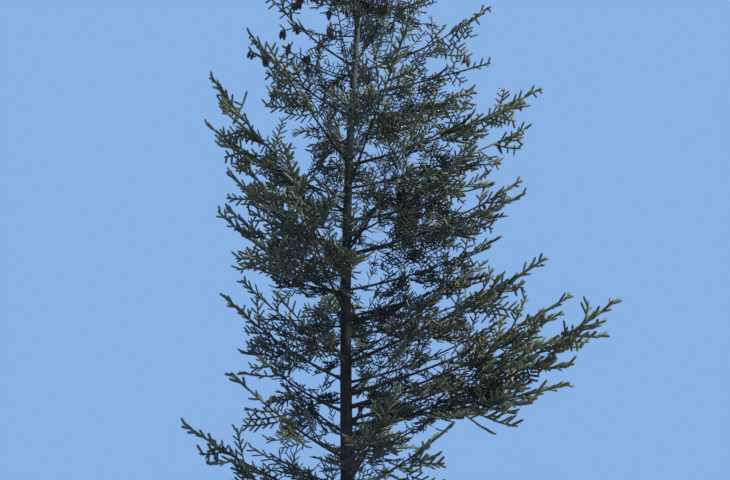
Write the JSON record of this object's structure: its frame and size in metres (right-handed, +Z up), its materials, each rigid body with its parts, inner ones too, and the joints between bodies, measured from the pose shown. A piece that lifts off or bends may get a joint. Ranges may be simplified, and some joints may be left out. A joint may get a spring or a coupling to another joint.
{
  "type": "spruce tree",
  "caption": "Slender spruce tree with one straight tapering trunk, rising boughs from low on the trunk to the top, and open masses of needle-clad twigs.",
  "frame": {"origin": "centre of the flat cut under the trunk, at ground level", "axes": "+Z up the trunk, +X towards the side with the longest bough, -Y towards the front"},
  "size_m": [5.1504, 4.6911, 12.6],
  "materials": {
    "trunk_bark": "rough grey-brown scaly bark",
    "bough_bark": "rough orange-brown bark",
    "foliage": "dark grey-green needles"
  },
  "bodies": {
    "root": {"trunk": "trunk_bark", "bough_01": "bough_bark", "bough_02": "bough_bark", "bough_03": "bough_bark", "bough_04": "bough_bark", "bough_05": "bough_bark", "bough_06": "bough_bark", "bough_07": "bough_bark", "bough_08": "bough_bark", "bough_09": "bough_bark", "bough_10": "bough_bark", "bough_11": "bough_bark", "bough_12": "bough_bark", "bough_13": "bough_bark", "bough_14": "bough_bark", "bough_15": "bough_bark", "bough_16": "bough_bark", "bough_17": "bough_bark", "bough_18": "bough_bark", "bough_19": "bough_bark", "bough_20": "bough_bark", "bough_21": "bough_bark", "bough_22": "bough_bark", "bough_23": "bough_bark", "bough_24": "bough_bark", "foliage_01": "foliage", "foliage_02": "foliage", "foliage_03": "foliage", "foliage_04": "foliage", "foliage_05": "foliage", "foliage_06": "foliage", "foliage_07": "foliage", "foliage_08": "foliage", "foliage_09": "foliage", "foliage_10": "foliage", "foliage_11": "foliage", "foliage_12": "foliage", "foliage_13": "foliage", "foliage_14": "foliage", "foliage_15": "foliage", "foliage_16": "foliage", "foliage_17": "foliage", "foliage_18": "foliage", "foliage_19": "foliage", "foliage_20": "foliage", "foliage_21": "foliage", "foliage_22": "foliage", "foliage_23": "foliage", "foliage_24": "foliage", "foliage_25": "foliage", "foliage_26": "foliage", "foliage_27": "foliage", "foliage_28": "foliage", "foliage_29": "foliage", "foliage_30": "foliage", "foliage_31": "foliage", "foliage_32": "foliage", "foliage_33": "foliage", "foliage_34": "foliage", "foliage_top": "foliage"}
  },
  "joints": []
}
